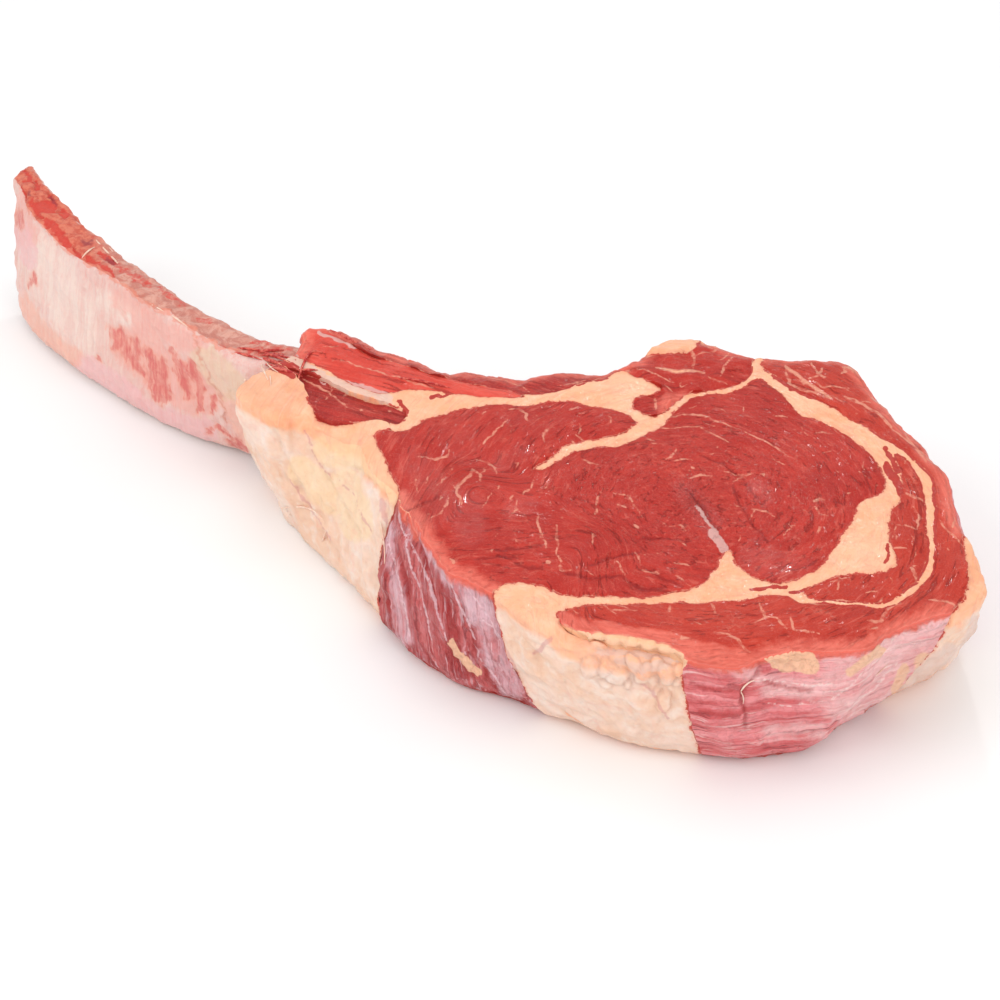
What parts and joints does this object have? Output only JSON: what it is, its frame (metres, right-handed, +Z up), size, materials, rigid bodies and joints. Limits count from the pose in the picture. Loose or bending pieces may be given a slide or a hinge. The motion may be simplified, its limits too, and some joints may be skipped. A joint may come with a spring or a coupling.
{
  "type": "raw tomahawk steak",
  "caption": "Raw thick-cut bone-in rib-eye steak on its long, bare, curved rib, with fat seams between the muscles.",
  "frame": {"origin": "on the board, under the left middle of the eye muscle", "axes": "+X along the steak away from the rib's sawn tip, +Y towards the side the rib lies on, +Z up out of the cut face"},
  "size_m": [0.3655, 0.1566, 0.0501],
  "materials": {
    "bone": "damp, satin, with membrane",
    "muscle": "wet, with fine gloss",
    "dark_muscle": "wet, darker",
    "seam_fat": "waxy, satin",
    "cover_fat": "waxy, satin"
  },
  "bodies": {
    "root": {"rib_bone": "bone", "eye_muscle": "muscle", "inner_cap_muscle": "muscle", "outer_cap_muscle": "muscle", "back_muscle": "muscle", "finger_meat": "muscle", "rear_meat": "dark_muscle", "under_rib_meat": "dark_muscle", "wedge_muscle": "dark_muscle", "seam_fat": "seam_fat", "chine_fat": "seam_fat", "bone_end_fat": "cover_fat", "front_fat": "cover_fat", "edge_fat": "cover_fat"}
  },
  "joints": []
}
